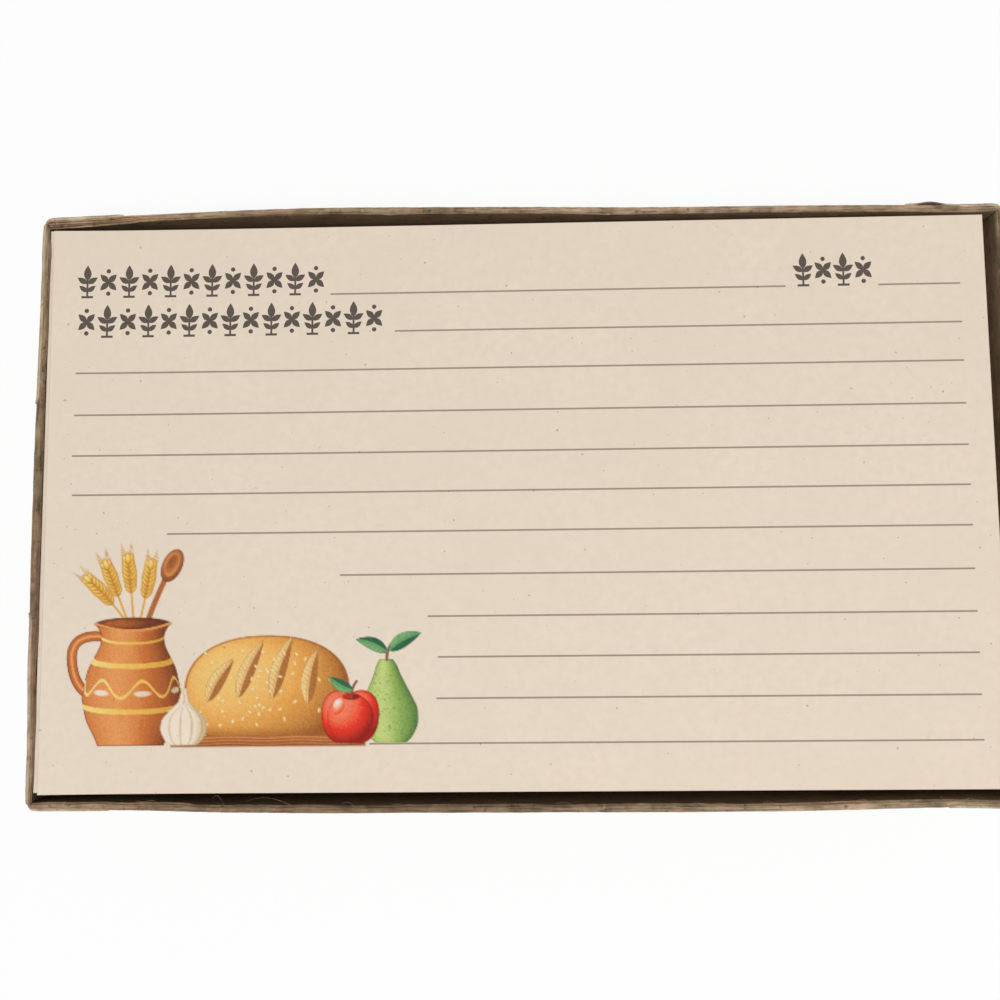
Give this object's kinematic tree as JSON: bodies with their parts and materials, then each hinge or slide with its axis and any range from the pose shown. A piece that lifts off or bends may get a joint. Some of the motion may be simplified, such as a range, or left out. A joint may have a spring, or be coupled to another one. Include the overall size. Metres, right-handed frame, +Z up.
{
  "type": "recipe card box",
  "caption": "Open, shallow chipboard tray with papered corners, filled with ruled index cards that lie flat and lift out.",
  "frame": {"origin": "under the middle of the tray's outline, on the surface that it stands on", "axes": "+X along the length of the cards, to the right as they are read; +Y towards the top edge of their print; +Z up, out of the open top"},
  "size_m": [0.132, 0.081, 0.0158],
  "materials": {
    "chipboard": "raw grey-brown chipboard, matt, with fibres and a frayed rim",
    "stay_paper": "brown paper tape, matt",
    "card_stock": "warm cream index card, smooth and matt, printed in dark grey-brown and colours"
  },
  "bodies": {
    "box": {"tray": "chipboard", "stay_back_left": "stay_paper", "stay_front_left": "stay_paper", "stay_front_right": "stay_paper", "stay_back_right": "stay_paper"},
    "card_pile": {"card_01": "card_stock", "card_02": "card_stock", "card_03": "card_stock", "card_04": "card_stock", "card_05": "card_stock", "card_06": "card_stock", "card_07": "card_stock", "card_08": "card_stock", "card_09": "card_stock", "card_10": "card_stock", "card_11": "card_stock", "card_12": "card_stock", "card_13": "card_stock", "card_14": "card_stock", "card_15": "card_stock", "card_16": "card_stock", "card_17": "card_stock", "card_18": "card_stock", "card_19": "card_stock", "card_20": "card_stock", "card_21": "card_stock", "card_22": "card_stock", "card_23": "card_stock", "card_24": "card_stock", "card_25": "card_stock", "card_26": "card_stock", "card_27": "card_stock", "card_28": "card_stock", "card_29": "card_stock", "card_30": "card_stock", "card_31": "card_stock", "card_32": "card_stock", "card_33": "card_stock", "card_34": "card_stock", "card_35": "card_stock", "card_36": "card_stock", "card_37": "card_stock", "card_38": "card_stock", "card_39": "card_stock", "card_40": "card_stock", "card_41": "card_stock", "card_42": "card_stock"},
    "card_43": {"card_43": "card_stock"},
    "card_44": {"card_44": "card_stock"},
    "card_45": {"card_45": "card_stock"},
    "card_46": {"card_46": "card_stock"},
    "card_47": {"card_47": "card_stock"},
    "card_48": {"card_48": "card_stock"}
  },
  "joints": [
    {"name": "card_pile_lift", "type": "slide", "parent": "box", "child": "card_pile", "axis": [0, 0, 1], "range_m": [0, 0.02]},
    {"name": "card_43_lift", "type": "slide", "parent": "card_pile", "child": "card_43", "axis": [0, 0, 1], "range_m": [0, 0.012]},
    {"name": "card_44_lift", "type": "slide", "parent": "card_43", "child": "card_44", "axis": [0, 0, 1], "range_m": [0, 0.012]},
    {"name": "card_45_lift", "type": "slide", "parent": "card_44", "child": "card_45", "axis": [0, 0, 1], "range_m": [0, 0.012]},
    {"name": "card_46_lift", "type": "slide", "parent": "card_45", "child": "card_46", "axis": [0, 0, 1], "range_m": [0, 0.012]},
    {"name": "card_47_lift", "type": "slide", "parent": "card_46", "child": "card_47", "axis": [0, 0, 1], "range_m": [0, 0.012]},
    {"name": "card_48_lift", "type": "slide", "parent": "card_47", "child": "card_48", "axis": [0, 0, 1], "range_m": [0, 0.012]}
  ]
}
